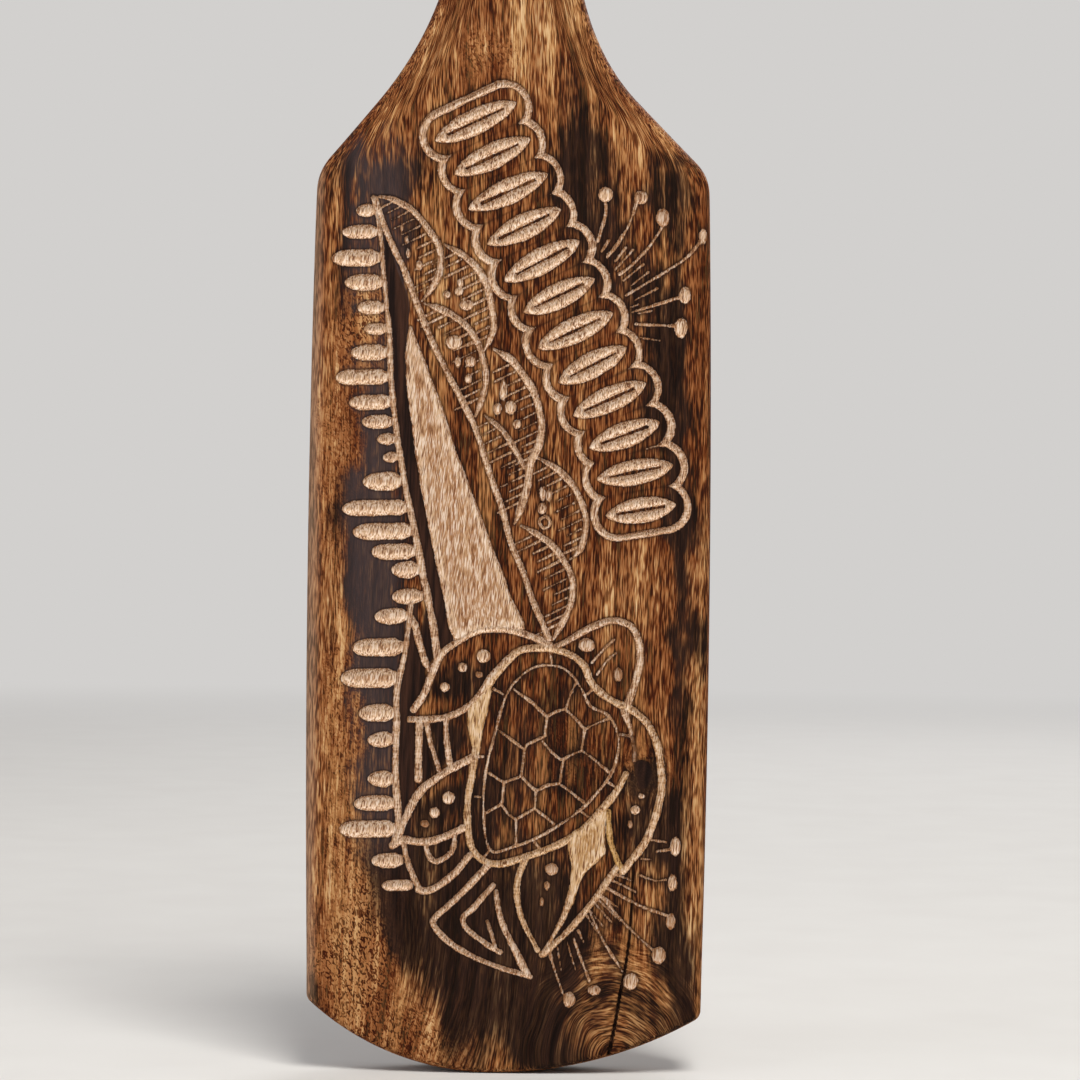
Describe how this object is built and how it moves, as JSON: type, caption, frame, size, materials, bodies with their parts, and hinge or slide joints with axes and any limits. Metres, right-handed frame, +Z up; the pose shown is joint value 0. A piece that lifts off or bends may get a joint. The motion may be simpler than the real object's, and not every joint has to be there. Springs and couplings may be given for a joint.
{
  "type": "carved wooden paddle",
  "caption": "Carved decorative wooden paddle: flat plank blade with sloped shoulders and a rounded foot, narrow shaft, wedged T-grip and a sawtooth hanger let into the back.",
  "frame": {"origin": "the middle notch of the sawtooth hanger, on the plane of the flat back", "axes": "+Z up the shaft with the blade hanging down, -Y out of the carved face, +X to the right seen from the carved face"},
  "size_m": [0.1212, 0.018, 0.5],
  "materials": {
    "carved_wood": "scorched and brushed, oiled, with pale fresh-cut carving",
    "grip_wood": "scorched and brushed, oiled, end grain at the bar's ends",
    "wedge_wood": "pale, sawn flush",
    "hanger_steel": "stamped, yellow zinc plated",
    "nail_steel": "yellow zinc plated"
  },
  "bodies": {
    "root": {"paddle_body": "carved_wood", "grip_crossbar": "grip_wood", "tenon_wedge": "wedge_wood", "hanger_plate": "hanger_steel", "hanger_nail_left": "nail_steel", "hanger_nail_right": "nail_steel"}
  },
  "joints": []
}
